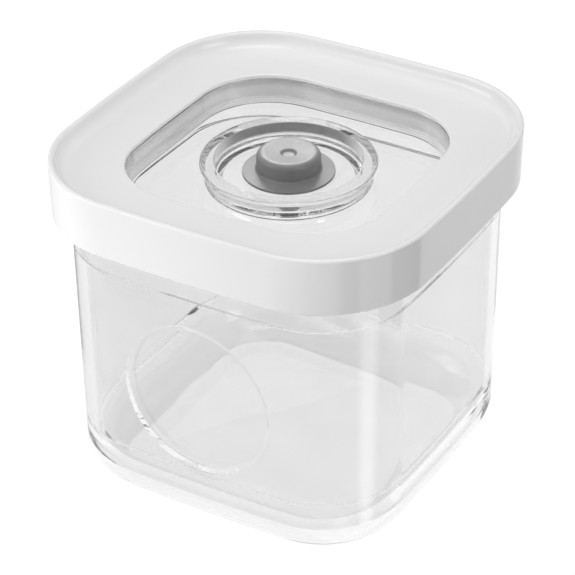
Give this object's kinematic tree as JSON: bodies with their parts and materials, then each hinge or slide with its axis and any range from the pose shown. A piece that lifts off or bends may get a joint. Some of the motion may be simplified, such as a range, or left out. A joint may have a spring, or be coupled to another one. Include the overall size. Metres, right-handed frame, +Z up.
{
  "type": "vacuum seal canister",
  "caption": "Clear square food container with a white-framed lid, a clear recessed tray, a round collar for a hand vacuum pump and a grey silicone vent valve; the lid lifts off.",
  "frame": {"origin": "middle of the underside of the base, on the surface that the box stands on", "axes": "+Z up through the valve, -Y towards the front wall with the round dimple, +X to its right"},
  "size_m": [0.1088, 0.1088, 0.0972],
  "materials": {
    "clear_container": "clear, polished",
    "white_frame": "gloss",
    "clear_tray": "clear, polished",
    "pale_silicone": "satin",
    "grey_silicone": "satin"
  },
  "bodies": {
    "container": {"container": "clear_container"},
    "lid": {"lid_frame": "white_frame", "lid_panel": "clear_tray", "lid_gasket": "pale_silicone"},
    "valve": {"valve": "grey_silicone"}
  },
  "joints": [
    {"name": "lid_lift", "type": "slide", "parent": "container", "child": "lid", "axis": [0, 0, 1], "range_m": [0, 0.06]},
    {"name": "valve_lift", "type": "slide", "parent": "lid", "child": "valve", "axis": [0, 0, 1], "range_m": [0, 0.002], "stiffness_N_per_m": 300, "springref_m": -0.001}
  ]
}
